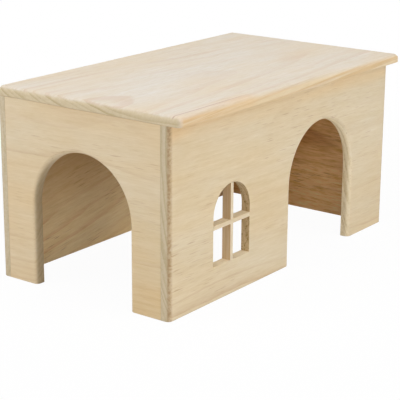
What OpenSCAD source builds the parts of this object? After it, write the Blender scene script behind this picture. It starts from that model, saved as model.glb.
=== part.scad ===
// Wooden rabbit house: a bottomless hut of pine boards with a flat roof, two arched doorways and a window.
// The origin is on the ground, under the middle of the roof. The front looks towards -Y.

/* [House] */
// Length of the long walls and of the roof
house_length = 400; // [340:1:520]
// Depth over the outer faces of the two long walls
house_depth = 217; // [190:1:320]
// Height from the ground to the top of the roof
house_height = 200; // [185:1:300]
// Thickness of the four wall boards
wall_thickness = 10; // [8:0.5:12]
// Radius of the rounded upright edges of the long walls
corner_radius = 5; // [1:0.25:6]

/* [Roof] */
// Thickness of the roof board
roof_thickness = 10; // [8:0.5:12]
// How far the roof stands out over the front wall
roof_overhang = 13; // [4:1:40]
// Radius of the rounded upper edges of the roof
roof_edge_radius = 5; // [1:0.25:6]
// Radius of the eased lower front edge of the roof
roof_drip_radius = 0.8; // [0.3:0.1:1.5]

/* [Doorway in the left end wall] */
// Width between the jambs
end_door_width = 121.5; // [80:0.5:130]
// Height from the ground to the top of the arch
end_door_height = 146.5; // [110:0.5:155]

/* [Doorway in the front wall] */
// Width between the jambs
front_door_width = 121.5; // [80:0.5:130]
// Height from the ground to the top of the arch
front_door_height = 146.5; // [110:0.5:155]
// Distance from the right end of the house to the nearer jamb
front_door_inset = 74; // [45:0.5:90]
// Radius of the rounded outer edge of both doorways
doorway_edge_radius = 5; // [1:0.25:6]

/* [Window] */
// Width of the opening
window_width = 61; // [45:1:75]
// Height of the opening from the sill to the top of the arch
window_height = 80; // [65:1:110]
// Height of the sill above the ground
window_sill = 35.5; // [20:0.5:50]
// Distance from the left end of the house to the middle of the window
window_inset = 100; // [70:1:120]
// Width of the two window bars
bar_width = 4.5; // [3:0.25:8]
// How far the ends of the bars are let into the wall from behind
bar_housing = 3; // [2:0.25:6]

/* [Dowels] */
// Diameter of the hidden dowels
dowel_diameter = 4; // [3:0.25:5]
// Length of the hidden dowels
dowel_length = 20; // [14:1:26]
// Length of each dowel that is in the face of a board, the rest is in the edge of the other board
dowel_face_depth = 6; // [3:0.25:6.5]
// Room for glue around a dowel
dowel_side_gap = 0.05; // [0.02:0.01:0.15]
// Room for glue at each end of a dowel
dowel_end_gap = 0.5; // [0.25:0.05:0.75]
// Width of the chamfer at each end of a dowel
dowel_chamfer = 0.5; // [0.2:0.05:0.9]
// Distance from the end of a joint to its first dowel
dowel_margin = 30; // [26:1:40]
// Number of dowels in each corner of the walls
corner_dowel_count = 3; // [2:1:5]
// Number of dowels between the roof and each long wall
roof_long_dowel_count = 4; // [2:1:8]
// Number of dowels between the roof and each end wall
roof_end_dowel_count = 2; // [2:1:4]

/* [Hidden] */

$fn = 96;
// Length by which a cutter reaches past the face that it cuts
over = 1;

// Which wall a corner joins: left and front are -1, right and back are +1
left = -1;
right = 1;
front = -1;
back = 1;

wall_height = house_height - roof_thickness;
roof_depth = house_depth + roof_overhang;
front_face_y = roof_overhang - roof_depth / 2;
back_face_y = roof_depth / 2;
front_inner_y = front_face_y + wall_thickness;
back_inner_y = back_face_y - wall_thickness;
half_length = house_length / 2;
end_wall_middle_x = half_length - wall_thickness / 2;
end_wall_depth = back_inner_y - front_inner_y;
end_wall_middle_y = (front_inner_y + back_inner_y) / 2;
front_door_x = half_length - front_door_inset - front_door_width / 2;
window_x = window_inset - half_length;
transom_z = window_sill + window_height / 2;
half_lap = wall_thickness / 2;

front_wall_colour = [0.86, 0.78, 0.64];
end_wall_colour = [0.85, 0.76, 0.62];
roof_colour = [0.88, 0.83, 0.77];
inner_colour = [0.80, 0.70, 0.54];
bar_colour = [0.83, 0.74, 0.60];
dowel_colour = [0.78, 0.64, 0.46];

// Evenly spaced places from the first to the last
function spread(first, last, count) = [for (i = [0 : count - 1]) first + (last - first) * i / (count - 1)];

// What a rounding of the given radius takes off a square corner at the origin, with the board at +X and +Y
module corner_waste(radius) {
    difference() {
        translate([-over, -over])
            square(radius + over);
        translate([radius, radius])
            circle(radius);
    }
}

// Plan of a long wall, with its outer face at y = 0 and its two outer corners rounded
module long_wall_plan() {
    difference() {
        translate([-half_length, 0])
            square([house_length, wall_thickness]);
        for (end = [0, 1])
            mirror([end, 0])
                translate([-half_length, 0])
                    corner_waste(corner_radius);
    }
}

// Half of the plan of an arched opening, which flares out to the wall's outer face at y = 0
module opening_half_plan(width, flare) {
    translate([0, -over])
        square([width / 2, wall_thickness + 2 * over]);
    if (flare > 0)
        translate([width / 2 + flare, 0])
            mirror([1, 0])
                difference() {
                    translate([0, -over])
                        square([flare + over, flare + over]);
                    translate([0, flare])
                        circle(flare);
                }
}

// An arched opening through a wall whose outer face is at y = 0: straight jambs under half a circle
module arched_opening(width, height, flare, foot) {
    jamb = height - width / 2;
    translate([0, 0, -foot])
        linear_extrude(height = jamb + foot)
            for (side = [0, 1])
                mirror([side, 0])
                    opening_half_plan(width, flare);
    translate([0, 0, jamb])
        rotate([-90, 0, 0])
            rotate([0, 0, 180])
                rotate_extrude(angle = 180)
                    opening_half_plan(width, flare);
}

module front_doorway() {
    translate([front_door_x, front_face_y, 0])
        arched_opening(front_door_width, front_door_height, doorway_edge_radius, over);
}

module end_doorway() {
    translate([-half_length, end_wall_middle_y, 0])
        rotate([0, 0, -90])
            arched_opening(end_door_width, end_door_height, doorway_edge_radius, over);
}

module window_opening() {
    translate([window_x, front_face_y, window_sill])
        arched_opening(window_width, window_height, 0, 0);
}

// The upright bar's whole space: behind, it reaches into the wall at both ends
module mullion_space(from_y, to_y, housing) {
    translate([window_x - bar_width / 2, front_face_y + from_y, window_sill - housing])
        cube([bar_width, to_y - from_y, window_height + 2 * housing]);
}

// The level bar's whole space: behind, it reaches into the wall at both ends
module transom_space(from_y, to_y, housing) {
    translate([window_x - window_width / 2 - housing, front_face_y + from_y, transom_z - bar_width / 2])
        cube([window_width + 2 * housing, to_y - from_y, bar_width]);
}

// Where the two bars cross, over the front or the rear half of their depth
module crossing(from_y, to_y) {
    translate([window_x - bar_width / 2, front_face_y + from_y, transom_z - bar_width / 2])
        cube([bar_width, to_y - from_y, bar_width]);
}

// A dowel along Z, with the joint between its two boards at z = 0 and the edge that it enters at +Z
module dowel() {
    radius = dowel_diameter / 2;
    translate([0, 0, -dowel_face_depth])
        rotate_extrude()
            polygon([
                [0, 0],
                [radius - dowel_chamfer, 0],
                [radius, dowel_chamfer],
                [radius, dowel_length - dowel_chamfer],
                [radius - dowel_chamfer, dowel_length],
                [0, dowel_length]
            ]);
}

// The hole of a dowel, in both of its boards
module dowel_bore() {
    translate([0, 0, -dowel_face_depth - dowel_end_gap])
        cylinder(r = dowel_diameter / 2 + dowel_side_gap, h = dowel_length + 2 * dowel_end_gap);
}

// Puts its children at each dowel between an end wall and a long wall
module at_corner(end, long) {
    for (z = spread(dowel_margin, wall_height - dowel_margin, corner_dowel_count))
        translate([end * end_wall_middle_x, long == front ? front_inner_y : back_inner_y, z])
            rotate([long * 90, 0, 0])
                children();
}

// Puts its children at each dowel between the roof and a long wall
module at_roof_long(long) {
    middle_y = (long == front ? front_inner_y : back_inner_y) + long * wall_thickness / 2;
    for (x = spread(dowel_margin - half_length, half_length - dowel_margin, roof_long_dowel_count))
        translate([x, middle_y, wall_height])
            rotate([180, 0, 0])
                children();
}

// Puts its children at each dowel between the roof and an end wall
module at_roof_end(end) {
    for (y = spread(front_inner_y + dowel_margin, back_inner_y - dowel_margin, roof_end_dowel_count))
        translate([end * end_wall_middle_x, y, wall_height])
            rotate([180, 0, 0])
                children();
}

// Outline of the roof across the house, from the front edge to the back edge
module roof_across() {
    difference() {
        translate([-roof_depth / 2, 0])
            square([roof_depth, roof_thickness]);
        translate([-roof_depth / 2, roof_thickness])
            mirror([0, 1])
                corner_waste(roof_edge_radius);
        translate([roof_depth / 2, roof_thickness])
            mirror([1, 0])
                mirror([0, 1])
                    corner_waste(roof_edge_radius);
        translate([-roof_depth / 2, 0])
            corner_waste(roof_drip_radius);
    }
}

// Outline of the roof along the house, from end to end
module roof_along() {
    difference() {
        translate([-half_length, 0])
            square([house_length, roof_thickness]);
        for (end = [0, 1])
            mirror([end, 0])
                translate([-half_length, roof_thickness])
                    mirror([0, 1])
                        corner_waste(roof_edge_radius);
    }
}

module roof() {
    color(roof_colour)
        difference() {
            translate([0, 0, wall_height])
                intersection() {
                    rotate([90, 0, 90])
                        linear_extrude(height = house_length, center = true)
                            roof_across();
                    rotate([90, 0, 0])
                        linear_extrude(height = roof_depth, center = true)
                            roof_along();
                }
            for (long = [front, back])
                at_roof_long(long)
                    dowel_bore();
            for (end = [left, right])
                at_roof_end(end)
                    dowel_bore();
        }
}

module front_wall() {
    color(front_wall_colour)
        difference() {
            translate([0, front_face_y, 0])
                linear_extrude(height = wall_height)
                    long_wall_plan();
            front_doorway();
            window_opening();
            mullion_space(half_lap, wall_thickness + over, bar_housing);
            transom_space(half_lap, wall_thickness + over, bar_housing);
            for (end = [left, right])
                at_corner(end, front)
                    dowel_bore();
            at_roof_long(front)
                dowel_bore();
        }
}

module back_wall() {
    color(inner_colour)
        difference() {
            translate([0, back_face_y, 0])
                mirror([0, 1, 0])
                    linear_extrude(height = wall_height)
                        long_wall_plan();
            for (end = [left, right])
                at_corner(end, back)
                    dowel_bore();
            at_roof_long(back)
                dowel_bore();
        }
}

// An end wall with the holes of its dowels, before any doorway is cut
module end_board(end) {
    difference() {
        translate([end * end_wall_middle_x - wall_thickness / 2, front_inner_y, 0])
            cube([wall_thickness, end_wall_depth, wall_height]);
        for (long = [front, back])
            at_corner(end, long)
                dowel_bore();
        at_roof_end(end)
            dowel_bore();
    }
}

module left_end_wall() {
    color(end_wall_colour)
        difference() {
            end_board(left);
            end_doorway();
        }
}

module right_end_wall() {
    color(inner_colour)
        end_board(right);
}

module window_mullion() {
    color(bar_colour)
        difference() {
            union() {
                intersection() {
                    mullion_space(0, half_lap, 0);
                    window_opening();
                }
                mullion_space(half_lap, wall_thickness, bar_housing);
            }
            crossing(-over, half_lap);
        }
}

module window_transom() {
    color(bar_colour)
        difference() {
            union() {
                intersection() {
                    transom_space(0, half_lap, 0);
                    window_opening();
                }
                transom_space(half_lap, wall_thickness, bar_housing);
            }
            crossing(half_lap, wall_thickness + over);
        }
}

module corner_dowels(end, long) {
    color(dowel_colour)
        at_corner(end, long)
            dowel();
}

module front_left_corner_dowels() {
    corner_dowels(left, front);
}

module front_right_corner_dowels() {
    corner_dowels(right, front);
}

module back_left_corner_dowels() {
    corner_dowels(left, back);
}

module back_right_corner_dowels() {
    corner_dowels(right, back);
}

module roof_front_dowels() {
    color(dowel_colour)
        at_roof_long(front)
            dowel();
}

module roof_back_dowels() {
    color(dowel_colour)
        at_roof_long(back)
            dowel();
}

module roof_left_dowels() {
    color(dowel_colour)
        at_roof_end(left)
            dowel();
}

module roof_right_dowels() {
    color(dowel_colour)
        at_roof_end(right)
            dowel();
}

roof();
front_wall();
back_wall();
left_end_wall();
right_end_wall();
window_mullion();
window_transom();
front_left_corner_dowels();
front_right_corner_dowels();
back_left_corner_dowels();
back_right_corner_dowels();
roof_front_dowels();
roof_back_dowels();
roof_left_dowels();
roof_right_dowels();
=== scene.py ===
"""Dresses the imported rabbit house: rounded boards of solid pine on a plain white stage."""

import math

import bmesh
import bpy
from bpy.props import FloatProperty, FloatVectorProperty, IntProperty, PointerProperty
from bpy.types import Operator, Panel, PropertyGroup
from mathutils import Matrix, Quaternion, Vector


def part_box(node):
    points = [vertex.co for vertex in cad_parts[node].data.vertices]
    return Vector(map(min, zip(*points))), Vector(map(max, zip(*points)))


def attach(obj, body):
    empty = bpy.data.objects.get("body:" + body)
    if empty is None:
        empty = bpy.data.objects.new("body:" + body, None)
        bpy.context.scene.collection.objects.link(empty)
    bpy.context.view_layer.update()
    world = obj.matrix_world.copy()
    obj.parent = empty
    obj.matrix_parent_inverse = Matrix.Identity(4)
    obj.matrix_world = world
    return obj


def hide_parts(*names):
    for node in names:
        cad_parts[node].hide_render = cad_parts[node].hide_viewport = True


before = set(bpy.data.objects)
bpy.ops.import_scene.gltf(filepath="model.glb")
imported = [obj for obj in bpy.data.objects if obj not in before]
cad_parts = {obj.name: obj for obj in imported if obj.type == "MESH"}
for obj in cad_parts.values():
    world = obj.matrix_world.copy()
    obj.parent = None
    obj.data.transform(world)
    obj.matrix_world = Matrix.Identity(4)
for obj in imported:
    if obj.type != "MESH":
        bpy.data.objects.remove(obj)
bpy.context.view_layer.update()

bl_info = {
    "name": "Rabbit House",
    "version": (1, 0, 0),
    "blender": (4, 5, 0),
    "location": "View3D > Sidebar > Rabbit House",
    "description": "Builds a wooden rabbit house of pine boards and its white stage",
    "category": "Add Mesh",
}

MM = 0.001
# How far a cutter reaches past the board that it cuts
OVER = 2 * MM
# Two places closer than SAME count as one place, and points closer than MERGE become one point
SAME = 0.01 * MM
MERGE = 0.001 * MM
# Sides of a whole circle in an arch and in a drill, and steps in a rounded edge
ARCH_STEPS = 128
DRILL_STEPS = 32
ROUND_STEPS = 8
# From which bend an edge may be rounded, is eased, and shows as a crease
ROUND_FROM = math.radians(30)
EASE_FROM = math.radians(38)
CREASE_FROM = math.radians(35)

# Turns of drills, dowels and cutters, whose own axis is Z
DOWN = (math.pi, 0.0, 0.0)
TO_BACK = (-math.pi / 2, 0.0, 0.0)
TO_FRONT = (math.pi / 2, 0.0, 0.0)
TO_RIGHT = (0.0, math.pi / 2, 0.0)
# Which way the face of a board looks
UPWARD = (0.0, 0.0, 1.0)
FRONTWARD = (0.0, -1.0, 0.0)
LEFTWARD = (-1.0, 0.0, 0.0)
# Which way the grain of a board runs, as the turn of the tree's heart line from the X axis
ALONG = (0.0, 0.0, 0.0)
ACROSS = (0.0, 0.0, math.pi / 2)
UPRIGHT = (0.0, -math.pi / 2, 0.0)
RING_GAP = 5.5 * MM
# Where in a year's ring the late wood is full, and where it breaks off
LATE_FULL, LATE_LAST = 0.92, 0.95
# Over how much of a board the colour of an opening fades out
FADE_OUT = 2 * MM

# How much red, green and blue change together in each kind of mark
FIBRE = (0.7, 1.0, 1.9)
PATCH = (0.1, 0.8, 2.1)
SAWN = (0.75, 0.9, 1.35)
EDGE_STRIPE = (-0.1, -0.2, -0.34)
RESIN_LINE = (-0.3, -0.45, -0.45)
# Painted bounce light from the floor
FLOOR_BOUNCE = (0.34, 0.48, 0.66)
SHADE = (1.0, 1.0, 1.0)

WHITE = (1.0, 1.0, 1.0)
FLOOR_SIZE = 30
LAMP_AIM = Vector((0, 0, 0.08))
SENSOR_WIDTH = 36

ROOF_LOW, ROOF_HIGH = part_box("roof")
FRONT_LOW, FRONT_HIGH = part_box("front_wall")
BACK_LOW, BACK_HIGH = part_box("back_wall")
LEFT_LOW, LEFT_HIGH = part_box("left_end_wall")
RIGHT_LOW, RIGHT_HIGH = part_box("right_end_wall")


def tint(red, green, blue):
    """A colour given as it looks on a screen, 0 to 255, as the light that it stands for."""
    return tuple(
        (c / 255 / 12.92) if c / 255 <= 0.04045 else ((c / 255 + 0.055) / 1.055) ** 2.4
        for c in (red, green, blue)
    )


def length(name, description, value):
    """A property for a length in metres."""
    return FloatProperty(
        name=name, description=description, default=value,
        min=0, precision=5, subtype="DISTANCE", unit="LENGTH",
    )


def place(name, description, value):
    """A property for a place in metres."""
    return FloatVectorProperty(
        name=name, description=description, default=value,
        size=3, precision=4, subtype="TRANSLATION", unit="LENGTH",
    )


def colour(name, description, value):
    """A property for a colour."""
    return FloatVectorProperty(
        name=name, description=description, default=value, size=3, min=0, max=1, subtype="COLOR"
    )


def power(name, description, value):
    """A property for the power of a lamp in watts."""
    return FloatProperty(name=name, description=description, default=value, min=0, unit="POWER")


def count(name, description, value, least):
    """A property for a number of things."""
    return IntProperty(name=name, description=description, default=value, min=least)


class HouseSizes(PropertyGroup):
    """Sizes of the house that its boards are cut and rounded to."""

    arris: length("Arris", "Width of the eased edge on the walls", 0.3 * MM)
    bar_arris: length("Bar arris", "Width of the eased edge on the window bars", 0.2 * MM)
    corner_radius: length("Corner radius", "Rounding of the long walls' upright edges", 5 * MM)
    roof_corner_radius: length("Roof corners", "Rounding of the roof's left corners", 6 * MM)
    roof_edge_radius: length("Roof edge", "Rounding of the upper edges of the roof", 5 * MM)
    roof_drip_radius: length("Roof drip", "Rounding of the lower edges of the roof", 0.8 * MM)
    door_width: length("Doorway width", "Width of both doorways", 121.5 * MM)
    door_height: length("Doorway height", "Height of both doorways with the arch", 146.5 * MM)
    door_edge_radius: length("Doorway edge", "Rounding of the doorways' outer edge", 5 * MM)
    front_door_inset: length("Front doorway inset", "From the right end to the jamb", 74 * MM)
    window_width: length("Window width", "Width of the window opening", 61 * MM)
    window_height: length("Window height", "From the sill to the top of the arch", 80 * MM)
    window_sill: length("Window sill", "Height of the sill above the ground", 35.5 * MM)
    window_inset: length("Window inset", "From the left end to the window's middle", 100 * MM)
    bar_width: length("Bar width", "Width of the two window bars", 4.5 * MM)
    bar_housing: length("Bar housing", "How far the bars' ends are let into the wall", 3 * MM)
    dowel_diameter: length("Dowel diameter", "Diameter of the hidden dowels", 4 * MM)
    dowel_length: length("Dowel length", "Length of the hidden dowels", 20 * MM)
    dowel_face_depth: length("Dowel depth", "Part of a dowel in the face of a board", 6 * MM)
    dowel_side_gap: length("Glue gap", "Room for glue around a dowel", 0.05 * MM)
    dowel_end_gap: length("Glue gap at the ends", "Room for glue at a dowel's ends", 0.5 * MM)
    dowel_chamfer: length("Dowel chamfer", "Chamfer at the ends of a dowel", 0.5 * MM)
    dowel_margin: length("Dowel margin", "From the end of a joint to its first dowel", 30 * MM)
    flute_depth: length("Flute depth", "Depth of the glue grooves along a dowel", 0.18 * MM)
    flutes: count("Flutes", "Number of glue grooves around a dowel", 16, least=6)
    corner_dowels: count("Dowels in a corner", "Dowels at each corner", 3, least=2)
    roof_long_dowels: count("Dowels along", "Dowels over each long wall", 4, least=2)
    roof_end_dowels: count("Dowels across", "Dowels over each end wall", 2, least=2)


class HouseColours(PropertyGroup):
    """Colours of the wood: early wood, late wood, edges and end grain, and colours that carry
    painted light and shade on some faces.
    """

    # The roof's top colour is its wood made paler by a painted sheen
    roof_top_wood_and_sheen: colour("Roof early wood", "Pale wood of the roof", tint(230, 216, 195))
    roof_dark: colour("Roof late wood", "Dark lines of the roof", tint(212, 180, 150))
    roof_end: colour("Roof end grain", "Sawn end of the roof board", tint(210, 192, 157))
    roof_edge: colour("Roof edge", "Edges and underside of the roof", tint(228, 206, 169))
    wall_pale: colour("Long wall early wood", "Pale wood of long walls", tint(224, 204, 168))
    wall_dark: colour("Front wall late wood", "Dark lines of the front wall", tint(196, 158, 112))
    wall_end: colour("Long wall end grain", "Sawn ends of the long walls", tint(203, 186, 154))
    # Painted light: a paler colour for faces that look up, such as the window sill and the
    # transom's top
    sill: colour("Window sill", "Sanded upper faces in the window", tint(247, 228, 192))
    # Sanded wood made near white: partly painted light
    jamb: colour("Front doorway", "Sanded face in the front doorway", tint(249, 231, 194))
    reveal: colour("Window reveal", "Sawn faces in the window", tint(198, 171, 128))
    # Brown of the corner rounds: partly burnished wood, partly painted shade
    scorch_and_shade: colour("Burnished corner", "Corners of the long walls", tint(176, 145, 104))
    # Darker, warmer colour of the inner face: painted shade and warm bounce light on the wood
    back_inner_wood_and_bounce: colour("Back wall early wood", "Inner face of the back wall", tint(206, 171, 120))
    # More orange colour of the inner face: painted warm bounce light on the wood
    right_inner_wood_and_bounce: colour("Right wall early wood", "Inner face at the right", tint(231, 183, 122))
    inner_dark: colour("Inner late wood", "Dark lines of both plain walls", tint(178, 117, 56))
    end_wall_pale: colour("End wall early wood", "Pale wood of end walls", tint(226, 204, 167))
    end_wall_dark: colour("Left wall late wood", "Dark lines of the left wall", tint(196, 158, 112))
    end_wall_end: colour("End wall end grain", "Sawn faces of the end walls", tint(184, 163, 127))
    bar_pale: colour("Bar early wood", "Pale wood of the window bars", tint(230, 212, 180))
    # Darker, browner sides of the upright bar: painted shade on its wood
    bar_side_wood_and_shade: colour("Bar sides", "Sawn sides of the upright bar", tint(210, 183, 144))
    bar_dark: colour("Bar late wood", "Dark lines of the window bars", tint(203, 172, 130))
    bar_end: colour("Bar end grain", "Sawn ends of the window bars", tint(190, 172, 140))
    resin: colour("Resin", "Short dark resin lines in the wood", tint(165, 112, 62))
    dowel_pale: colour("Dowel wood", "Beech of the dowels", tint(214, 184, 146))
    dowel_dark: colour("Dowel lines", "Dark lines of the dowels", tint(176, 136, 96))
    dowel_end: colour("Dowel end grain", "Sawn ends of the dowels", tint(186, 150, 110))


class HouseStage(PropertyGroup):
    """The camera, the lamps and the floor."""

    camera_place: place("Camera", "Where the camera stands", (-1.13351, -0.83471, 0.47959))
    camera_aim: place("Camera aim", "What it looks at", (-0.021409, -0.004012, 0.060462))
    camera_roll: FloatProperty(
        name="Camera roll", description="Turn about the view",
        default=math.radians(0.348), subtype="ANGLE", unit="ROTATION",
    )
    camera_lens: FloatProperty(
        name="Lens", description="Focal length in millimetres", default=121.70, min=1
    )
    floor_colour: colour("Floor", "Colour of the floor", (0.92, 0.92, 0.92))
    floor_white: FloatProperty(
        name="White of the floor", description="Share of plain white that the camera sees in it",
        default=0.965, min=0, max=1, subtype="FACTOR",
    )
    far_from: length("Shadow reach", "How far out the floor keeps its full shadow", 0.4)
    far_to: length("White from", "How far out the floor is plain white", 0.9)
    sky: FloatProperty(
        name="Sky", description="Strength of the even light from all round", default=0.02, min=0
    )
    fill: power("Fill", "Power of the soft lamp beside the camera", 7.3)
    behind: power("Behind", "Power of the lamp behind the left end", 13.8)
    front: power("Front", "Power of the low lamp in front", 14.6)
    high: power("High", "Power of the high lamp in front", 12.6)
    top: power("Top", "Power of the soft lamp overhead", 25.3)


def sizes():
    """The sizes that are set in the scene."""
    return bpy.context.scene.house_sizes


def colours():
    """The colours that are set in the scene."""
    return bpy.context.scene.house_colours


def stage():
    """The settings of the stage."""
    return bpy.context.scene.house_stage


class Wire:
    """A value in a material, which Python's own operators work on by adding Math nodes."""

    def __init__(self, finish, socket):
        self.finish = finish
        self.socket = socket

    def maths(self, operation, first, second=0.0):
        return self.finish.node("ShaderNodeMath", {"operation": operation}, {0: first, 1: second})

    def __add__(self, other):
        return self.maths("ADD", self, other)

    __radd__ = __add__

    def __sub__(self, other):
        return self.maths("SUBTRACT", self, other)

    def __rsub__(self, other):
        return self.maths("SUBTRACT", other, self)

    def __mul__(self, other):
        return self.maths("MULTIPLY", self, other)

    __rmul__ = __mul__

    def __truediv__(self, other):
        return self.maths("DIVIDE", self, other)

    def __rtruediv__(self, other):
        return self.maths("DIVIDE", other, self)

    def __pow__(self, other):
        return self.maths("POWER", self, other)

    def __abs__(self):
        return self.maths("ABSOLUTE", self)

    def floor(self):
        return self.maths("FLOOR", self)

    def fraction(self):
        return self.maths("FRACT", self)

    def larger(self, other):
        return self.maths("MAXIMUM", self, other)

    def rise(self, low, high):
        """0 below low, 1 above high and a smooth rise between them."""
        settings = {"interpolation_type": "SMOOTHSTEP"}
        sockets = {0: self, 1: low, 2: high, 3: 0.0, 4: 1.0}
        return self.finish.node("ShaderNodeMapRange", settings, sockets)


class Finish:
    """The nodes of a material or of the world."""

    def __init__(self, owner):
        owner.use_nodes = True
        self.owner = owner
        self.tree = owner.node_tree
        self.tree.nodes.clear()

    def node(self, kind, settings=None, sockets=None, output=0):
        """Adds a node, sets it, fills its sockets with values or links, and gives one output."""
        made = self.tree.nodes.new(kind)
        for key, value in (settings or {}).items():
            setattr(made, key, value)
        for key, value in (sockets or {}).items():
            socket = made.inputs[key]
            if isinstance(value, Wire):
                self.tree.links.new(value.socket, socket)
            else:
                socket.default_value = (*value[:3], 1.0) if socket.type == "RGBA" else value
        return Wire(self, made.outputs[output]) if made.outputs else None

    def split(self, vector):
        """The three numbers of a vector."""
        outputs = self.node("ShaderNodeSeparateXYZ", None, {0: vector}).socket.node.outputs
        return [Wire(self, output) for output in outputs]

    def vector(self, operation, first, second=(0.0, 0.0, 0.0), third=(0.0, 0.0, 0.0), output=0):
        """Vector arithmetic: output 0 is a vector, and output 1 a number."""
        sockets = {0: first, 1: second, 2: third}
        return self.node("ShaderNodeVectorMath", {"operation": operation}, sockets, output)

    def blend(self, share, first, second):
        """A mix of two colours."""
        sockets = {0: share, 6: first, 7: second}
        return self.node("ShaderNodeMix", {"data_type": "RGBA"}, sockets, 2)

    def toned(self, shade, amount, weights):
        """A colour made lighter or darker by a share, with weights for red, green and blue."""
        return self.vector("MULTIPLY", shade, self.vector("MULTIPLY_ADD", amount, weights, WHITE))

    def surface(self, shader, kind="ShaderNodeOutputMaterial"):
        """Puts the shader on the owner, and gives the owner."""
        self.node(kind, None, {"Surface": shader})
        return self.owner


class SolidWood(Finish):
    """Wood with growth rings around a heart line, painted from early wood to darker rounded edges,
    with painted light and shade on some faces.

    The layers go on in the order of the methods: early_wood_and_painted_light, late_wood,
    sawn_ends, resin_dashes, fibres and finished are needed, and the others go on where a board
    shows such a mark.
    """

    def __init__(self, name, heart, grain, tilt=(0.0, 0.0, 0.0), seed=0.0):
        super().__init__(bpy.data.materials.new(name))
        self.heart = heart
        self.turn = tuple(a + b for a, b in zip(grain, tilt))
        self.seed = seed
        self.place = self.node("ShaderNodeTexCoord", None, None, "Object")
        self.x, self.y, self.z = self.split(self.place)
        self.trunk = self.from_heart(heart)
        self.moved = self.vector("ADD", self.trunk, (seed, seed, seed))
        self.normal = self.node("ShaderNodeNewGeometry", None, None, "Normal")
        facing = self.split(self.vector("ABSOLUTE", self.normal))
        # How far the surface turns to the sawn end of the grain, and whether it is a rounded edge
        self.across = facing[(ALONG, ACROSS, UPRIGHT).index(grain)]
        flat = facing[0].larger(facing[1]).larger(facing[2])
        self.rounded = (1 - flat).rise(0.02, 0.25)

    def from_heart(self, heart):
        """Coordinates with X along the tree's heart line and the heart line at nought."""
        sockets = {"Vector": self.place, "Location": heart, "Rotation": self.turn}
        return self.node("ShaderNodeMapping", {"vector_type": "TEXTURE"}, sockets)

    def noise(self, along, across, detail=0.0, roughness=0.5):
        """Noise between 0 and 1, with its changes in a metre along and across the grain."""
        scaled = self.vector("MULTIPLY", self.moved, (along, across, across))
        sockets = {"Vector": scaled, "Scale": 1.0, "Detail": detail, "Roughness": roughness}
        return self.node("ShaderNodeTexNoise", None, sockets)

    def rings(self, trunk, gap, sway, line_from):
        """The late wood lines of the yearly rings, which sway, and how dark each year is."""
        _, side, depth = self.split(trunk)
        slow = (self.noise(along=4, across=11, detail=1) - 0.5) * 14 * MM
        quick = (self.noise(along=13, across=42, detail=1) - 0.5) * 3.5 * MM
        ragged = (self.noise(along=45, across=190, detail=1) - 0.5) * 0.9 * MM
        radius = (side * side + depth * depth) ** 0.5 + (slow + quick) * sway + ragged
        # Years of uneven width, each with a shade of its own
        one_way = {"noise_dimensions": "1D"}
        sockets = {"W": radius * 70 + self.seed, "Scale": 1.0}
        uneven = self.node("ShaderNodeTexNoise", one_way, sockets)
        rings = radius / gap + uneven * 1.6
        phase = rings.fraction()
        year = self.node("ShaderNodeTexWhiteNoise", one_way, {"W": rings.floor() + self.seed})
        line = phase.rise(line_from, LATE_FULL) * (1 - phase.rise(LATE_LAST, 1.0))
        return line, year

    def early_wood_and_painted_light(self, pale, edge=None, front=UPWARD, stripes=1.0):
        """Pale wood on the faces that turn to the front, and a striped colour on the other faces.
        Where a board has both, the difference between them is painted light and shade: a painted
        sheen on the roof's top, painted light on faces that look up, painted warm bounce light and
        shade on the inner faces, and painted shade on the sides of the upright bar.
        """
        self.shade = pale
        if edge:
            # How far a face turns to the front or to the sawn ends: the share that takes the front
            # colour, with its painted light and shade
            turned = self.vector("DOT_PRODUCT", self.normal, front, output=1).larger(0.0)
            self.crown = ((turned * turned + self.across * self.across) ** 0.5).rise(0.0, 0.9)
            stripe = self.noise(along=4, across=260, detail=2, roughness=0.6).rise(0.42, 0.62)
            side = self.toned(edge, stripe * stripes, EDGE_STRIPE)
            self.shade = self.blend(self.crown, side, pale)

    def late_wood(self, dark, lines=0.5, gap=RING_GAP, even=0.15, sway=1.0):
        """The dark lines of the rings, which fade in places."""
        line, year = self.rings(self.trunk, gap, sway, line_from=0.55)
        fade = self.noise(along=7, across=24, detail=1).rise(0.35, 0.65)
        self.late = line * (even + (1 - even) * year * year) * (0.2 + 0.8 * fade)
        self.shade = self.blend(self.late * lines, self.shade, dark)

    def painted_floor_bounce(self, amount):
        """Painted bounce light from the floor: the faces turned to the front lighter from the
        height of a hand down to the ground.
        """
        low = 1 - self.z.rise(20 * MM, 130 * MM)
        self.shade = self.toned(self.shade, self.crown * low * amount, FLOOR_BOUNCE)

    def patches(self, amount=1.0):
        """Small and broad patches of warmer and cooler wood."""
        patch = self.noise(along=10, across=32, detail=2) - 0.5
        broad = self.noise(along=3.5, across=12) - 0.5
        self.shade = self.toned(self.shade, (patch * 0.18 + broad * 0.14) * amount, PATCH)

    def stain_and_painted_light(self, middle, reach, soft, weights):
        """A change of colour in a soft box, which reaches this far from its middle: real stains on
        the roof, painted light and shade on the walls.
        """
        share = 0.5 + 0.5 * self.noise(along=6, across=50, detail=1).rise(0.4, 0.6)
        for axis, centre, half in zip((self.x, self.y, self.z), middle, reach):
            share = share * (1 - abs(axis - centre).rise(half - soft, half + soft))
        self.shade = self.toned(self.shade, share, weights)

    def resin_line(self, to_x, at_y):
        """A thin brown line along a board, from its left end to where it fades out."""
        wander = (self.noise(along=14, across=14, detail=1) - 0.5) * 4 * MM
        line = 1 - abs(self.y - at_y + wander).rise(0.1 * MM, 1.1 * MM)
        fading = 1 - self.x.rise(to_x - 60 * MM, to_x)
        self.shade = self.toned(self.shade, fading * line, RESIN_LINE)

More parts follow.
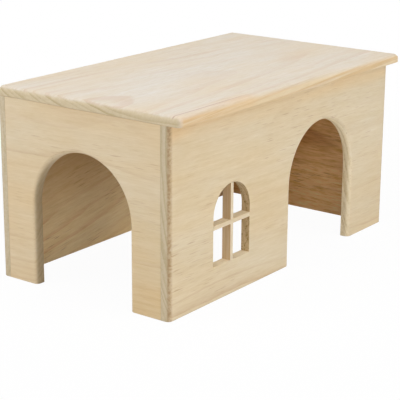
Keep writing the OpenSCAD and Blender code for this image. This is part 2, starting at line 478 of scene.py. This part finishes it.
    def sawn_ends(self, end, heart=None, hatch=1.0, sawn_from=0.45, openings=()):
        """End grain, hatched by rings that may have a heart of their own.

        An opening is where it begins and ends in X, its colour and how torn its grain is. Its
        arch is sawn all round.
        """
        sawn = self.across
        if openings:
            under = (0 - self.split(self.normal)[2]).larger(0.0)
            sawn = (sawn * sawn + under * under) ** 0.5
        self.sawn = sawn.rise(sawn_from, 0.97)
        trunk = self.from_heart(heart or self.heart)
        line, year = self.rings(trunk, RING_GAP, sway=0.5, line_from=0.3)
        tone = 0.07 - 0.34 * (line * (0.35 + 0.65 * year) * hatch)
        for low, high, inner, torn in openings:
            within = self.x.rise(low - FADE_OUT, low)
            within = within * (1 - self.x.rise(high, high + FADE_OUT))
            end = self.blend(within, end, inner)
            tear = self.noise(along=170, across=480, detail=2, roughness=0.6).rise(0.52, 0.66)
            tone = tone - torn * within * tear
        self.shade = self.blend(self.sawn, self.shade, self.toned(end, tone, SAWN))

    def burnish_and_shade(self, from_x):
        """Brown where the rounded corners of a long wall begin: partly wood burnished by the
        router, partly painted shade.
        """
        reach = abs(self.x).rise(from_x - 1 * MM, from_x + 0.3 * MM)
        bend = self.across.rise(-0.2, 0.65) * (1 - self.across.rise(0.8, 0.98))
        speckle = self.noise(along=400, across=400, detail=1).rise(0.3, 0.7)
        share = reach * bend * (0.55 + 0.45 * speckle)
        self.shade = self.blend(share, self.shade, colours().scorch_and_shade)

    def resin_dashes(self, amount):
        """Short dark resin lines, in swarms, and few of them on sawn ends."""
        swarm = self.noise(along=12, across=30).rise(0.42, 0.64)
        self.dash = self.noise(along=40, across=1000, detail=1).rise(0.6, 0.76)
        self.dash = self.dash * (0.15 + 0.85 * swarm)
        share = self.dash * (1 - 0.7 * self.sawn) * amount
        self.shade = self.blend(share, self.shade, colours().resin)

    def fibres(self, amount=1.0, flecks=0.12):
        """Long streaks, short streaks and fine fibres, and flecks."""
        long_streak = self.noise(along=5, across=160, detail=2) - 0.5
        self.streak = self.noise(along=28, across=420, detail=2, roughness=0.6) - 0.5
        self.fibre = self.noise(along=120, across=1800, detail=1) - 0.5
        fleck = self.noise(along=45, across=300, detail=3, roughness=0.65) - 0.5
        fine = long_streak * 0.12 + self.streak * 0.2 + self.fibre * 0.16
        self.shade = self.toned(self.shade, fine * amount + fleck * flecks, FIBRE)

    def finished(self):
        """The material, with rounded edges a little darker and a painted contact shadow along the
        foot.
        """
        # Painted contact shadow in the lowest 1.6 mm, and rounded edges darker: partly worn wood,
        # partly painted shade
        foot = 1 - self.z.rise(0.0, 1.6 * MM)
        shade = self.toned(self.shade, self.rounded * -0.05 + foot * -0.12, SHADE)
        relief = self.streak * 0.5 + self.fibre * 0.4 + self.late * 0.35 - self.dash * 0.3
        sockets = {"Strength": 0.2, "Distance": 0.3 * MM, "Height": relief}
        bump = self.node("ShaderNodeBump", None, sockets)
        roughness = 0.52 + self.streak * 0.14 - self.late * 0.06 + self.sawn * 0.12
        sockets = {"Base Color": shade, "Roughness": roughness, "Normal": bump}
        return self.surface(self.node("ShaderNodeBsdfPrincipled", None, sockets))


def near(value, *places):
    """Whether a number is at one of the places."""
    return min(abs(value - each) for each in places) < SAME


def hands_off():
    """Leaves edit mode with nothing selected."""
    if bpy.context.object and bpy.context.object.mode != "OBJECT":
        bpy.ops.object.mode_set(mode="OBJECT")
    bpy.ops.object.select_all(action="DESELECT")


def pick(piece):
    """Makes a piece the only one selected."""
    hands_off()
    piece.select_set(True)
    bpy.context.view_layer.objects.active = piece


def settle(name):
    """Names the piece that was just added and puts its place into its mesh."""
    piece = bpy.context.object
    piece.name = piece.data.name = name
    bpy.ops.object.transform_apply(location=True, rotation=True, scale=True)
    return piece


def board(name, low, high):
    """A square-edged board between two corners."""
    low, high = Vector(low), Vector(high)
    hands_off()
    bpy.ops.mesh.primitive_cube_add(size=1, location=(low + high) / 2, scale=high - low)
    return settle(name)


def mark(piece, wanted):
    """Opens a piece for editing, with the sharp edges selected that are wanted.

    The test is made at both ends of an edge and at its middle.
    """
    pick(piece)
    bpy.ops.object.mode_set(mode="EDIT")
    bpy.ops.mesh.select_mode(type="EDGE")
    bpy.ops.mesh.select_all(action="DESELECT")
    mesh = bmesh.from_edit_mesh(piece.data)
    found = 0
    for edge in mesh.edges:
        first, last = (v.co for v in edge.verts)
        points = (first, last, (first + last) / 2)
        if edge.calc_face_angle(0) > ROUND_FROM and all(map(wanted, points)):
            edge.select_set(True)
            found += 1
    bmesh.update_edit_mesh(piece.data)
    if not found:
        raise RuntimeError(f"{piece.name} has no such edge")


def round_over(piece, wanted, radius, steps=ROUND_STEPS):
    """Rounds the wanted edges of a piece."""
    mark(piece, wanted)
    bpy.ops.mesh.bevel(
        offset=radius, segments=steps, profile=0.5, affect="EDGES", clamp_overlap=False
    )
    bpy.ops.object.mode_set(mode="OBJECT")


def apply_modifier(piece, kind, **settings):
    """Adds a modifier to a piece, sets it and applies it."""
    pick(piece)
    bpy.ops.object.modifier_add(type=kind)
    modifier = piece.modifiers[-1]
    for key, value in settings.items():
        setattr(modifier, key, value)
    bpy.ops.object.modifier_apply(modifier=modifier.name)


def cut(piece, cutter):
    """Cuts the shape of the cutter out of a piece, and takes the cutter away."""
    before = len(piece.data.polygons)
    apply_modifier(piece, "BOOLEAN", operation="DIFFERENCE", solver="EXACT", object=cutter)
    pick(cutter)
    bpy.ops.object.delete()
    if len(piece.data.polygons) == before:
        raise RuntimeError(f"{piece.name} wasn't cut")


def arched_cutter(middle, width, height, foot, through, turn):
    """A cutter for an arched opening: half a cylinder on straight jambs down to its foot."""
    spring = (middle[0], middle[1], foot + height - width / 2)
    hands_off()
    bpy.ops.mesh.primitive_cylinder_add(
        vertices=ARCH_STEPS,
        radius=width / 2,
        depth=through + 2 * OVER,
        location=spring,
        rotation=turn,
    )
    cutter = settle("arched_cutter")
    bpy.ops.object.mode_set(mode="EDIT")
    bpy.ops.mesh.select_all(action="SELECT")
    bpy.ops.mesh.bisect(
        plane_co=spring, plane_no=(0, 0, -1), use_fill=True, clear_outer=True, threshold=MERGE
    )
    drop = spring[2] - foot + (OVER if foot < SAME else 0)
    bpy.ops.mesh.extrude_region_move(TRANSFORM_OT_translate={"value": (0, 0, -drop)})
    bpy.ops.mesh.select_all(action="SELECT")
    bpy.ops.mesh.normals_make_consistent(inside=False)
    bpy.ops.object.mode_set(mode="OBJECT")
    return cutter


def doorway(wall, middle, through, turn, axis, face_axis, face):
    """Cuts an arched doorway into a wall and rounds its rim in one face of the wall.

    The doorway's width runs along one axis, and the face lies across another.
    """
    s = sizes()
    cut(wall, arched_cutter(middle, s.door_width, s.door_height, 0, through, turn))
    spring = s.door_height - s.door_width / 2

    def on_rim(point):
        side = point[axis] - middle[axis]
        out = abs(side) if point.z <= spring + SAME else math.hypot(side, point.z - spring)
        return near(point[face_axis], face) and abs(out - s.door_width / 2) < 10 * SAME

    round_over(wall, on_rim, s.door_edge_radius)


def ease(piece, width, steps=2):
    """Takes the sharpness off every edge that is left."""
    apply_modifier(
        piece,
        "BEVEL",
        width=width,
        segments=steps,
        limit_method="ANGLE",
        angle_limit=EASE_FROM,
        use_clamp_overlap=True,
    )


def spread(first, last, number):
    """Evenly spaced places from the first to the last."""
    return [first + (last - first) * i / (number - 1) for i in range(number)]


def dowel_places():
    """For each group of dowels, where each dowel's axis meets the joint, and the dowel's turn."""
    s = sizes()
    top, margin = ROOF_LOW.z, s.dowel_margin
    heights = spread(margin, top - margin, s.corner_dowels)
    left, right = (LEFT_LOW.x + LEFT_HIGH.x) / 2, (RIGHT_LOW.x + RIGHT_HIGH.x) / 2
    front, back = (FRONT_LOW.y + FRONT_HIGH.y) / 2, (BACK_LOW.y + BACK_HIGH.y) / 2
    along = spread(ROOF_LOW.x + margin, ROOF_HIGH.x - margin, s.roof_long_dowels)
    across = spread(FRONT_HIGH.y + margin, BACK_LOW.y - margin, s.roof_end_dowels)
    return {
        "front_left_corner_dowels": [((left, FRONT_HIGH.y, z), TO_BACK) for z in heights],
        "front_right_corner_dowels": [((right, FRONT_HIGH.y, z), TO_BACK) for z in heights],
        "back_left_corner_dowels": [((left, BACK_LOW.y, z), TO_FRONT) for z in heights],
        "back_right_corner_dowels": [((right, BACK_LOW.y, z), TO_FRONT) for z in heights],
        "roof_front_dowels": [((x, front, top), DOWN) for x in along],
        "roof_back_dowels": [((x, back, top), DOWN) for x in along],
        "roof_left_dowels": [((left, y, top), DOWN) for y in across],
        "roof_right_dowels": [((right, y, top), DOWN) for y in across],
    }


def bore(piece, *groups):
    """Drills the holes of these groups of dowels."""
    s = sizes()
    places = dowel_places()
    hole = s.dowel_length + 2 * s.dowel_end_gap
    lift = hole / 2 - s.dowel_face_depth - s.dowel_end_gap
    ways = {DOWN: Vector((0, 0, -1)), TO_BACK: Vector((0, 1, 0)), TO_FRONT: Vector((0, -1, 0))}
    for middle, turn in [p for group in groups for p in places[group]]:
        hands_off()
        bpy.ops.mesh.primitive_cylinder_add(
            vertices=DRILL_STEPS,
            radius=s.dowel_diameter / 2 + s.dowel_side_gap,
            depth=hole,
            location=Vector(middle) + ways[turn] * lift,
            rotation=turn,
        )
        cut(piece, settle("drill"))


def bar_housings():
    """The corners of the two slots behind the window that hold the bars: upright, level."""
    s = sizes()
    x = FRONT_LOW.x + s.window_inset
    z = s.window_sill + s.window_height / 2
    half, half_lap = s.bar_width / 2, (FRONT_LOW.y + FRONT_HIGH.y) / 2
    reach = s.window_width / 2 + s.bar_housing
    foot, head = s.window_sill - s.bar_housing, s.window_sill + s.window_height + s.bar_housing
    return (
        (Vector((x - half, half_lap, foot)), Vector((x + half, FRONT_HIGH.y, head))),
        (Vector((x - reach, half_lap, z - half)), Vector((x + reach, FRONT_HIGH.y, z + half))),
    )


def smooth(piece):
    """Smooth shading on rounded edges, with the flat faces kept flat."""
    pick(piece)
    bpy.ops.object.mode_set(mode="EDIT")
    bpy.ops.mesh.select_all(action="SELECT")
    bpy.ops.mesh.remove_doubles(threshold=MERGE)
    bpy.ops.mesh.normals_make_consistent(inside=False)
    bpy.ops.object.mode_set(mode="OBJECT")
    bpy.ops.object.shade_smooth_by_angle(angle=CREASE_FROM)
    apply_modifier(piece, "WEIGHTED_NORMAL", mode="FACE_AREA", weight=50, keep_sharp=True)


def fit(piece, node, material):
    """Puts a finished piece in the place of its node."""
    piece.data.materials.clear()
    piece.data.materials.append(material)
    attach(piece, "root")
    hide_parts(node)


class RABBIT_HOUSE_OT_roof(Operator):
    """Builds the roof board, rounded along its upper edges and at its left corners"""

    bl_idname = "rabbit_house.roof"
    bl_label = "Roof"

    def execute(self, context):
        s, c = sizes(), colours()
        roof = board("roof_board", ROOF_LOW, ROOF_HIGH)
        round_over(
            roof,
            lambda p: near(p.x, ROOF_LOW.x) and near(p.y, ROOF_LOW.y, ROOF_HIGH.y),
            s.roof_corner_radius,
        )
        round_over(roof, lambda p: near(p.z, ROOF_HIGH.z), s.roof_edge_radius)
        ease(roof, s.roof_drip_radius, steps=3)
        bore(roof, *(f"roof_{side}_dowels" for side in ("front", "back", "left", "right")))
        smooth(roof)
        wood = SolidWood("roof_pine", (0.0, -0.018, 0.332), ALONG, tilt=(0.0, -0.058, 0.0))
        # Faces that look up take the paler top colour: a painted sheen on the roof's top
        wood.early_wood_and_painted_light(c.roof_top_wood_and_sheen, c.roof_edge, front=(0.0, 0.2, 0.98))
        wood.late_wood(c.roof_dark, gap=8.2 * MM, even=0.5, sway=0.6)
        wood.patches(1.1)
        # Warmer wood and a brown line along the left part of the front edge
        wood.stain_and_painted_light(
            middle=(-0.15, -0.117, 0.2),
            reach=(0.07, 0.014, 1.0),
            soft=0.012,
            weights=(0.02, -0.1, -0.24),
        )
        wood.resin_line(to_x=-60 * MM, at_y=ROOF_LOW.y + 10 * MM)
        wood.sawn_ends(c.roof_end, heart=(0.0, -0.088, 0.54), sawn_from=0.6)
        wood.resin_dashes(0.25)
        wood.fibres()
        fit(roof, "roof", wood.finished())
        return {"FINISHED"}


class RABBIT_HOUSE_OT_front_wall(Operator):
    """Builds the front wall with its doorway and its window"""

    bl_idname = "rabbit_house.front_wall"
    bl_label = "Front Wall"

    def execute(self, context):
        s, c = sizes(), colours()
        wall = board("front_wall_board", FRONT_LOW, FRONT_HIGH)
        thickness = FRONT_HIGH.y - FRONT_LOW.y
        middle_y = (FRONT_LOW.y + FRONT_HIGH.y) / 2
        round_over(
            wall,
            lambda p: near(p.y, FRONT_LOW.y) and near(p.x, FRONT_LOW.x, FRONT_HIGH.x),
            s.corner_radius,
        )
        door_x = FRONT_HIGH.x - s.front_door_inset - s.door_width / 2
        middle = (door_x, middle_y)
        doorway(wall, middle, thickness, TO_FRONT, axis=0, face_axis=1, face=FRONT_LOW.y)
        window_x = FRONT_LOW.x + s.window_inset
        opening = (s.window_width, s.window_height, s.window_sill, thickness, TO_FRONT)
        cut(wall, arched_cutter((window_x, middle_y), *opening))
        ease(wall, s.arris)
        for low, high in bar_housings():
            cut(wall, board("housing_cutter", low, high + Vector((0, OVER, 0))))
        bore(wall, "front_left_corner_dowels", "front_right_corner_dowels", "roof_front_dowels")
        smooth(wall)
        wood = SolidWood(
            "front_wall_pine", (0.0, -0.35, 0.17), ALONG, tilt=(0.0, 0.02, 0.0), seed=3.7
        )
        # Faces that look up, such as the window sill, and the sides that turn to the ends take a
        # paler colour: painted light
        wood.early_wood_and_painted_light(c.sill, c.wall_pale, stripes=0.0)
        wood.late_wood(c.wall_dark, lines=0.55)
        wood.patches()
        # Warmer colour in a band under the roof: painted warm bounce light from the roof
        wood.stain_and_painted_light(
            middle=(0.0, 0.0, 0.187),
            reach=(1.0, 1.0, 0.012),
            soft=0.009,
            weights=(0.1, 0.01, -0.12),
        )
        # The front doorway's near-white face is partly painted light
        openings = (
            (door_x - s.door_width, door_x + s.door_width, c.jamb, 0.12),
            (window_x - s.window_width, window_x + s.window_width, c.reveal, 0.5),
        )
        wood.sawn_ends(c.wall_end, heart=(0.0, -0.5, 0.17), hatch=0.9, openings=openings)
        wood.burnish_and_shade(FRONT_HIGH.x - s.corner_radius)
        wood.resin_dashes(0.5)
        wood.fibres()
        fit(wall, "front_wall", wood.finished())
        return {"FINISHED"}


class RABBIT_HOUSE_OT_back_wall(Operator):
    """Builds the plain back wall"""

    bl_idname = "rabbit_house.back_wall"
    bl_label = "Back Wall"

    def execute(self, context):
        s, c = sizes(), colours()
        wall = board("back_wall_board", BACK_LOW, BACK_HIGH)
        round_over(
            wall,
            lambda p: near(p.y, BACK_HIGH.y) and near(p.x, BACK_LOW.x, BACK_HIGH.x),
            s.corner_radius,
        )
        ease(wall, s.arris)
        bore(wall, "back_left_corner_dowels", "back_right_corner_dowels", "roof_back_dowels")
        smooth(wall)
        wood = SolidWood(
            "back_wall_pine", (0.0, 0.35, 0.16), ALONG, tilt=(0.0, -0.15, 0.02), seed=11.3
        )
        # The inner face takes a darker, warmer colour than the outer face: painted shade and warm
        # bounce light
        wood.early_wood_and_painted_light(c.back_inner_wood_and_bounce, c.wall_pale, front=FRONTWARD, stripes=0.2)
        wood.late_wood(c.inner_dark, lines=0.65)
        # Painted bounce light from the floor on the lower part of the inner face
        wood.painted_floor_bounce(1.6)
        wood.patches(1.3)
        wood.sawn_ends(c.wall_end, heart=(0.0, 0.5, 0.16), hatch=0.5)
        wood.burnish_and_shade(BACK_HIGH.x - s.corner_radius)
        wood.resin_dashes(0.8)
        wood.fibres(1.4, flecks=0.3)
        fit(wall, "back_wall", wood.finished())
        return {"FINISHED"}


class RABBIT_HOUSE_OT_end_walls(Operator):
    """Builds the two end walls between the long walls, the left one with its doorway"""

    bl_idname = "rabbit_house.end_walls"
    bl_label = "End Walls"

    def execute(self, context):
        s, c = sizes(), colours()
        left = board("left_end_board", LEFT_LOW, LEFT_HIGH)
        middle = (LEFT_LOW + LEFT_HIGH) / 2
        thickness = LEFT_HIGH.x - LEFT_LOW.x
        doorway(left, middle, thickness, TO_RIGHT, axis=1, face_axis=0, face=LEFT_LOW.x)
        right = board("right_end_board", RIGHT_LOW, RIGHT_HIGH)
        for wall, side in ((left, "left"), (right, "right")):
            ease(wall, s.arris)
            corners = (f"front_{side}_corner_dowels", f"back_{side}_corner_dowels")
            bore(wall, *corners, f"roof_{side}_dowels")
            smooth(wall)
        wood = SolidWood(
            "left_end_pine", (-0.4, 0.0, 0.2), ACROSS, tilt=(0.0, 0.02, 0.0), seed=5.1
        )
        wood.early_wood_and_painted_light(c.end_wall_pale)
        wood.late_wood(c.end_wall_dark, lines=0.35)
        wood.patches(1.2)
        # Browner and darker towards the foot of the front leg: painted shade
        wood.stain_and_painted_light(
            middle=(-0.2, -0.085, 0.02),
            reach=(1.0, 0.05, 0.08),
            soft=0.03,
            weights=(-0.06, -0.1, -0.2),
        )
        wood.sawn_ends(c.end_wall_end, hatch=0.6)
        wood.resin_dashes(0.4)
        wood.fibres()
        fit(left, "left_end_wall", wood.finished())
        wood = SolidWood(
            "right_end_pine", (0.45, 0.0, 0.09), ACROSS, tilt=(0.0, -0.02, 0.02), seed=7.9
        )
        # The inner face takes a more orange colour than the outer face: painted warm bounce light
        wood.early_wood_and_painted_light(c.right_inner_wood_and_bounce, c.end_wall_pale, front=LEFTWARD, stripes=0.2)
        wood.late_wood(c.inner_dark, lines=1.0)
        # Painted bounce light from the floor on the lower part of the inner face
        wood.painted_floor_bounce(0.75)
        wood.patches(1.2)
        wood.sawn_ends(c.end_wall_end)
        wood.resin_dashes(0.9)
        wood.fibres(3.0, flecks=1.3)
        fit(right, "right_end_wall", wood.finished())
        return {"FINISHED"}


class RABBIT_HOUSE_OT_window_bars(Operator):
    """Builds the two halved window bars"""

    bl_idname = "rabbit_house.window_bars"
    bl_label = "Window Bars"

    def execute(self, context):
        s, c = sizes(), colours()
        upright, level = bar_housings()
        face, back = FRONT_LOW.y, FRONT_HIGH.y
        half_lap = upright[0].y
        x, z = (upright[0].x + upright[1].x) / 2, (level[0].z + level[1].z) / 2
        half, radius = s.bar_width / 2, s.window_width / 2
        crown = s.window_sill + s.window_height - radius + math.sqrt(radius**2 - half**2)

        mullion = board("window_mullion_bar", (upright[0].x, face, upright[0].z), upright[1])
        west, east = x - half - OVER, x + half + OVER
        for low, high in (
            (upright[0].z - OVER, s.window_sill),
            (crown, upright[1].z + OVER),
            (z - half, z + half),
        ):
            notch = board("notch_cutter", (west, face - OVER, low), (east, half_lap, high))
            cut(mullion, notch)

        transom = board("window_transom_bar", (level[0].x, face, level[0].z), level[1])
        below, above = z - half - OVER, z + half + OVER
        for low, high in (
            ((level[0].x - OVER, face - OVER, below), (x - radius, half_lap, above)),
            ((x + radius, face - OVER, below), (level[1].x + OVER, half_lap, above)),
            ((x - half, half_lap, below), (x + half, back + OVER, above)),
        ):
            cut(transom, board("notch_cutter", low, high))

        for bar in (mullion, transom):
            ease(bar, s.bar_arris)
            smooth(bar)
        wood = SolidWood("mullion_pine", (-0.14, -0.06, 0.0), UPRIGHT, seed=2.2)
        # The upright bar's sides take a darker, browner colour than its front: painted shade
        wood.early_wood_and_painted_light(c.bar_pale, c.bar_side_wood_and_shade, front=FRONTWARD)
        self.paint(wood)
        fit(mullion, "window_mullion", wood.finished())
        wood = SolidWood("transom_pine", (-0.1, -0.14, 0.1), ALONG, seed=9.4)
        # The bar's top takes the paler colour of faces that look up: painted light
        wood.early_wood_and_painted_light(c.sill, c.bar_pale, stripes=0.0)
        self.paint(wood)
        fit(transom, "window_transom", wood.finished())
        return {"FINISHED"}

    def paint(self, wood):
        """The layers that both bars share."""
        c = colours()
        wood.late_wood(c.bar_dark, gap=3 * MM)
        wood.patches()
        wood.sawn_ends(c.bar_end)
        wood.resin_dashes(0.3)
        wood.fibres()


class RABBIT_HOUSE_OT_dowels(Operator):
    """Builds the hidden fluted dowels"""

    bl_idname = "rabbit_house.dowels"
    bl_label = "Dowels"

    def execute(self, context):
        c = colours()
        model = self.one_dowel()
        wood = SolidWood("dowel_beech", (0.0, 0.6, 0.4), UPRIGHT, seed=6.6)
        wood.early_wood_and_painted_light(c.dowel_pale)
        wood.late_wood(c.dowel_dark, gap=1.4 * MM)
        wood.patches()
        wood.sawn_ends(c.dowel_end)
        wood.resin_dashes(0.4)
        wood.fibres()
        material = wood.finished()
        for group, places in dowel_places().items():
            copies = []
            for middle, turn in places:
                pick(model)
                bpy.ops.object.duplicate()
                dowel = bpy.context.object
                dowel.location, dowel.rotation_euler = middle, turn
                bpy.ops.object.transform_apply(location=True, rotation=True, scale=True)
                copies.append(dowel)
            pick(copies[0])
            for dowel in copies:
                dowel.select_set(True)
            bpy.ops.object.join()
            dowels = bpy.context.object
            dowels.name = dowels.data.name = group.replace("_dowels", "_fluted_dowels")
            smooth(dowels)
            fit(dowels, group, material)
        pick(model)
        bpy.ops.object.delete()
        return {"FINISHED"}

    def one_dowel(self):
        """A chamfered dowel with glue grooves, upright, with the joint at nought."""
        s = sizes()
        radius = s.dowel_diameter / 2
        hands_off()
        bpy.ops.mesh.primitive_cylinder_add(
            vertices=4 * s.flutes,
            radius=radius,
            depth=s.dowel_length,
            location=(0, 0, s.dowel_length / 2 - s.dowel_face_depth),
        )
        model = settle("dowel_model")
        round_over(model, lambda p: True, s.dowel_chamfer, steps=1)
        pick(model)
        bpy.ops.object.mode_set(mode="EDIT")
        bpy.ops.mesh.select_mode(type="VERT")
        bpy.ops.mesh.select_all(action="DESELECT")
        mesh = bmesh.from_edit_mesh(model.data)
        step = 2 * math.pi / s.flutes
        for v in mesh.verts:
            turn = math.atan2(v.co.x, v.co.y) % step
            if math.hypot(v.co.x, v.co.y) > radius - SAME and abs(turn - step / 2) < step / 8:
                v.select_set(True)
        mesh.select_flush_mode()
        bmesh.update_edit_mesh(model.data)
        shrink = 1 - s.flute_depth / radius
        bpy.ops.transform.resize(value=(shrink, shrink, 1), center_override=(0, 0, 0))
        bpy.ops.object.mode_set(mode="OBJECT")
        return model


def seen_straight(finish):
    """1 where the camera looks, also by way of a mirror or glass, and 0 for falling light."""
    rays = finish.node("ShaderNodeLightPath").socket.node.outputs
    camera, glossy, through = (
        Wire(finish, rays[f"Is {kind} Ray"]) for kind in ("Camera", "Glossy", "Transmission")
    )
    return camera.larger(glossy).larger(through)


class RABBIT_HOUSE_OT_stage(Operator):
    """Sets up the floor, the lamps, the sky and the camera"""

    bl_idname = "rabbit_house.stage"
    bl_label = "Stage"

    def execute(self, context):
        t = stage()
        self.lay_floor(t)

        room = Finish(bpy.data.worlds.new("white_room"))
        light = room.node("ShaderNodeBackground", None, {"Color": WHITE, "Strength": t.sky})
        white = room.node("ShaderNodeBackground", None, {"Color": WHITE, "Strength": 1.0})
        sockets = {0: seen_straight(room), 1: light, 2: white}
        mixed = room.node("ShaderNodeMixShader", None, sockets)
        context.scene.world = room.surface(mixed, "ShaderNodeOutputWorld")

        lamps = (
            ("fill_lamp", t.fill, (-1.78, -1.29, 0.75), 1.2),
            ("behind_lamp", t.behind, (-1.47, 1.03, 0.9), 1.0),
            ("front_lamp", t.front, (0.45, -2.2, 0.68), 1.2),
            ("high_lamp", t.high, (0.1, -1.48, 1.8), 1.4),
            ("top_lamp", t.top, (-0.25, -0.05, 2.25), 1.9),
        )
        for name, watts, where, width in lamps:
            hands_off()
            turn = (LAMP_AIM - Vector(where)).to_track_quat("-Z", "Y")
            bpy.ops.object.light_add(type="AREA", location=where, rotation=turn.to_euler())
            lamp = context.object
            lamp.name = lamp.data.name = name
            lamp.data.energy, lamp.data.size = watts, width
            lamp.visible_camera = False

        hands_off()
        view = Vector(t.camera_aim) - Vector(t.camera_place)
        turn = view.to_track_quat("-Z", "Y") @ Quaternion((0, 0, 1), t.camera_roll)
        bpy.ops.object.camera_add(location=t.camera_place, rotation=turn.to_euler())
        camera = context.object
        camera.name = camera.data.name = "camera"
        camera.data.lens = t.camera_lens
        camera.data.sensor_width = SENSOR_WIDTH
        context.scene.camera = camera
        context.scene.view_settings.view_transform = "Standard"
        return {"FINISHED"}

    def lay_floor(self, t):
        """A pale floor with the house's shadow, which can be looked through from below."""
        hands_off()
        bpy.ops.mesh.primitive_plane_add(size=FLOOR_SIZE, location=(0, 0, 0))
        floor = settle("floor")
        finish = Finish(bpy.data.materials.new("floor_white"))
        plain = finish.node("ShaderNodeBsdfDiffuse", None, {"Color": t.floor_colour})
        white = finish.node("ShaderNodeEmission", None, {"Color": WHITE, "Strength": 1.0})
        x, y, _ = finish.split(finish.node("ShaderNodeTexCoord", None, None, "Object"))
        far = ((x * x + y * y) ** 0.5).rise(t.far_from, t.far_to)
        cover = t.floor_white + far * (1 - t.floor_white)
        sockets = {0: seen_straight(finish) * cover, 1: plain, 2: white}
        upper = finish.node("ShaderNodeMixShader", None, sockets)
        below = finish.node("ShaderNodeBsdfTransparent")
        behind = finish.node("ShaderNodeNewGeometry", None, None, "Backfacing")
        sockets = {0: behind, 1: upper, 2: below}
        both = finish.node("ShaderNodeMixShader", None, sockets)
        floor.data.materials.append(finish.surface(both))


BUILDERS = (
    RABBIT_HOUSE_OT_roof,
    RABBIT_HOUSE_OT_front_wall,
    RABBIT_HOUSE_OT_back_wall,
    RABBIT_HOUSE_OT_end_walls,
    RABBIT_HOUSE_OT_window_bars,
    RABBIT_HOUSE_OT_dowels,
    RABBIT_HOUSE_OT_stage,
)


class RABBIT_HOUSE_PT_panel(Panel):
    """Lists the settings and the builders of the rabbit house"""

    bl_idname = "RABBIT_HOUSE_PT_panel"
    bl_label = "Rabbit House"
    bl_space_type = "VIEW_3D"
    bl_region_type = "UI"
    bl_category = "Rabbit House"

    def draw(self, context):
        for builder in BUILDERS:
            self.layout.operator(builder.bl_idname)
        for group, kind in GROUPS.items():
            box = self.layout.box()
            for name in kind.__annotations__:
                box.prop(getattr(context.scene, group), name)


CLASSES = (HouseSizes, HouseColours, HouseStage, *BUILDERS, RABBIT_HOUSE_PT_panel)
GROUPS = {"house_sizes": HouseSizes, "house_colours": HouseColours, "house_stage": HouseStage}


def register():
    for each in CLASSES:
        bpy.utils.register_class(each)
    for name, group in GROUPS.items():
        setattr(bpy.types.Scene, name, PointerProperty(type=group))


def unregister():
    for name in GROUPS:
        delattr(bpy.types.Scene, name)
    for each in reversed(CLASSES):
        bpy.utils.unregister_class(each)


def main():
    register()
    bpy.ops.rabbit_house.stage()
    bpy.ops.rabbit_house.roof()
    bpy.ops.rabbit_house.front_wall()
    bpy.ops.rabbit_house.back_wall()
    bpy.ops.rabbit_house.end_walls()
    bpy.ops.rabbit_house.window_bars()
    bpy.ops.rabbit_house.dowels()
    hands_off()


if __name__ == "__main__":
    main()
